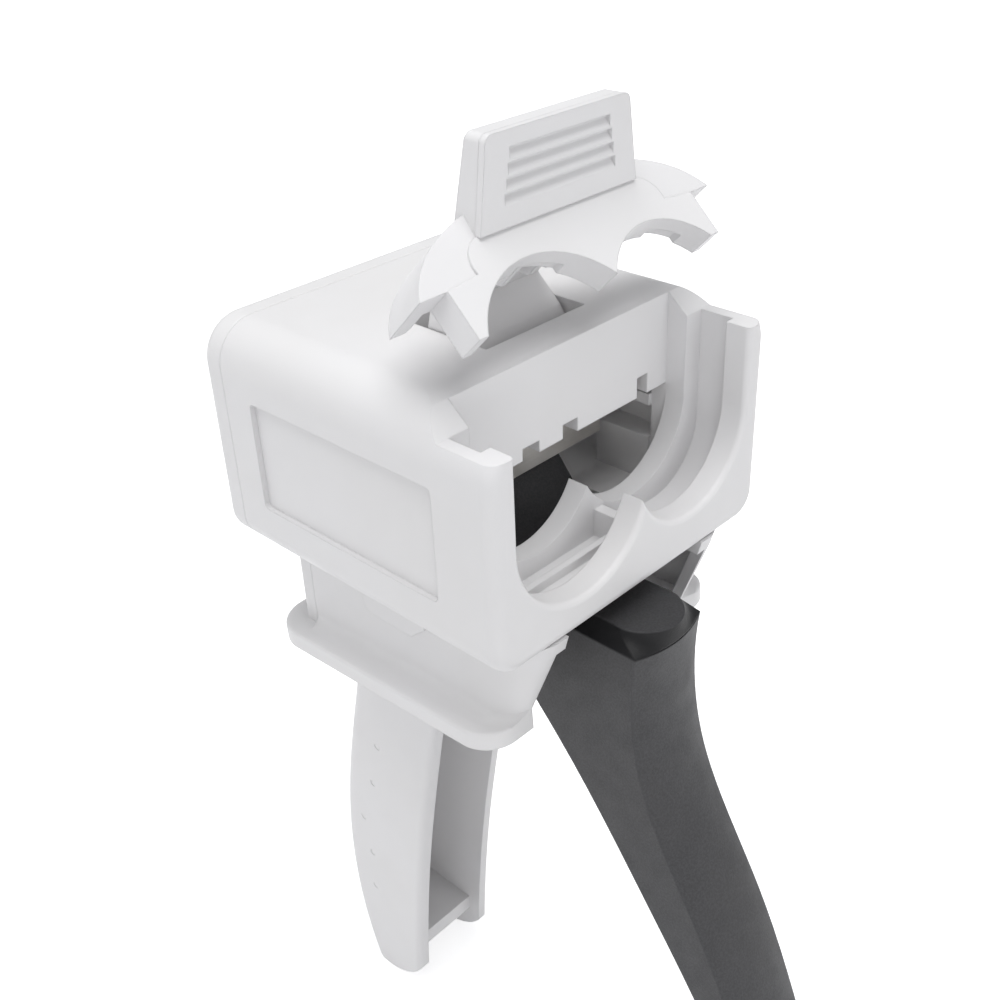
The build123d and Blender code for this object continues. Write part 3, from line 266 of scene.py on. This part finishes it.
def metal(name, colour, dark, roughness, stretch, scratch_depth):
    """Bare metal with spots of dirt and with scratches drawn out by a stretch along each axis."""
    shader = Shader(name)
    lines = shader.noise(60.0, detail=6.0, roughness=0.7, stretch=stretch)
    spots = shader.noise(130.0, detail=4.0)
    tone = shader.blend(shader.spread(spots, 0.35, 0.7, 0.0, 1.0), colour, dark)
    tone = shader.blend(shader.spread(lines, 0.3, 0.7, 0.0, 0.6), tone, dark)
    gloss = shader.spread(lines, 0.3, 0.7, roughness - 0.08, roughness + 0.1)
    normal = shader.bump(lines, scratch_depth, shader.rounded(METAL_EDGE_RADIUS))
    return shader.surface(tone, gloss, normal, metallic=1.0)


WHITE = white_plastic("white_plastic")
WHITE_PAD = white_plastic("white_pad_plastic", roughness=0.4)
ACETAL = white_plastic("natural_acetal", (0.66, 0.64, 0.58), (0.62, 0.6, 0.54), 0.3)
SHADE_BANDED_GREY = grey_plastic("grey_plastic", painted_shade_band=True)
GREY_PLAIN = grey_plastic("grey_plain_plastic")
ROLLED_STEEL = metal(
    "rolled_steel", (0.93, 0.91, 0.88), (0.74, 0.72, 0.68), 0.5, (0.15, 1.0, 12.0), 0.012 * MM
)
GROUND_STEEL = metal(
    "ground_steel", (0.58, 0.57, 0.56), (0.46, 0.45, 0.44), 0.28, (0.3, 8.0, 8.0), 0.006 * MM
)
ZINC = metal("zinc_steel", (0.55, 0.56, 0.58), (0.4, 0.4, 0.4), 0.34, (4.0, 4.0, 4.0), 0.008 * MM)
SPRING = metal("spring_steel", (0.5, 0.5, 0.51), (0.3, 0.3, 0.3), 0.3, (2.0, 60.0, 2.0), 0.02 * MM)

# Finish of each material slot, and the nodes that have one of their own
FINISHES = {
    "white": WHITE,
    "grey": GREY_PLAIN,
    "natural": ACETAL,
    "steel": GROUND_STEEL,
    "screw": ZINC,
    "spring": SPRING,
}
SPECIAL = {
    "trigger": SHADE_BANDED_GREY,
    "drive_plate": ROLLED_STEEL,
    "brake_plate": ROLLED_STEEL,
    "latch_grip": WHITE_PAD,
}


def dress_nodes():
    for row in frame["record"]["subparts"]:
        name = row["node"]
        mesh = nodes[name].data
        finish = SPECIAL.get(name, FINISHES[row["material_slot"]])
        if not mesh.materials:
            mesh.materials.append(finish)
        for index in range(len(mesh.materials)):
            mesh.materials[index] = finish


def floor_material():
    """Pale floor that looks white to the camera and keeps the object's shadow."""
    shader = Shader("floor")
    path = shader.add("ShaderNodeLightPath")
    seen = shader.math("MAXIMUM", path.outputs["Is Camera Ray"], path.outputs["Is Glossy Ray"])
    seen = shader.math("MAXIMUM", seen, path.outputs["Is Transmission Ray"])
    matt = shader.add("ShaderNodeBsdfDiffuse")
    shader.join(shader.blend(shader.noise(40.0), *FLOOR_TONES), matt.inputs["Color"])
    reach = shader.add("ShaderNodeVectorMath", operation="LENGTH")
    shader.join(shader.coordinates, reach.inputs[0])
    fade = shader.spread(
        reach.outputs["Value"], GLOW_NEAR[0], GLOW_FAR[0], GLOW_NEAR[1], GLOW_FAR[1]
    )
    glow = shader.add("ShaderNodeEmission")
    glow.inputs["Color"].default_value = (1.0, 1.0, 1.0, 1.0)
    shader.join(shader.math("MULTIPLY", seen, fade), glow.inputs["Strength"])
    both = shader.add("ShaderNodeAddShader")
    shader.join(matt.outputs["BSDF"], both.inputs[0])
    shader.join(glow.outputs["Emission"], both.inputs[1])
    shader.join(both.outputs["Shader"], shader.output.inputs["Surface"])
    return shader.material


def add_floor(height):
    half = FLOOR_HALF
    corners = [(-half, -half, height), (half, -half, height), (half, half, height), (-half, half, height)]
    mesh = bpy.data.meshes.new("floor")
    mesh.from_pydata(corners, [], [(0, 1, 2, 3)])
    mesh.materials.append(floor_material())
    floor = bpy.data.objects.new("floor", mesh)
    bpy.context.scene.collection.objects.link(floor)


def add_world():
    """Even light from all around, and a white background to the camera."""
    world = bpy.data.worlds.new("studio")
    bpy.context.scene.world = world
    world.use_nodes = True
    tree = world.node_tree
    tree.nodes.clear()
    path = tree.nodes.new("ShaderNodeLightPath")
    seen = tree.nodes.new("ShaderNodeMath")
    seen.operation = "MAXIMUM"
    tree.links.new(path.outputs["Is Camera Ray"], seen.inputs[0])
    tree.links.new(path.outputs["Is Transmission Ray"], seen.inputs[1])
    soft = tree.nodes.new("ShaderNodeBackground")
    soft.inputs["Color"].default_value = (*WORLD_COLOUR, 1.0)
    soft.inputs["Strength"].default_value = WORLD_STRENGTH
    white = tree.nodes.new("ShaderNodeBackground")
    white.inputs["Color"].default_value = (1.0, 1.0, 1.0, 1.0)
    mix = tree.nodes.new("ShaderNodeMixShader")
    tree.links.new(seen.outputs["Value"], mix.inputs["Fac"])
    tree.links.new(soft.outputs["Background"], mix.inputs[1])
    tree.links.new(white.outputs["Background"], mix.inputs[2])
    output = tree.nodes.new("ShaderNodeOutputWorld")
    tree.links.new(mix.outputs["Shader"], output.inputs["Surface"])


def add_softbox(name, place, target, size, power):
    data = bpy.data.lights.new(name, "AREA")
    data.shape = "RECTANGLE"
    data.size, data.size_y = size
    data.energy = power
    light = bpy.data.objects.new(name, data)
    light.location = place
    light.rotation_mode = "QUATERNION"
    light.rotation_quaternion = (Vector(target) - Vector(place)).to_track_quat("-Z", "Y")
    bpy.context.scene.collection.objects.link(light)


add_camera()
dress_nodes()
add_floor(cad_low.z)
add_world()
for softbox in SOFTBOXES:
    add_softbox(*softbox)

bpy.context.scene.view_settings.view_transform = "Standard"
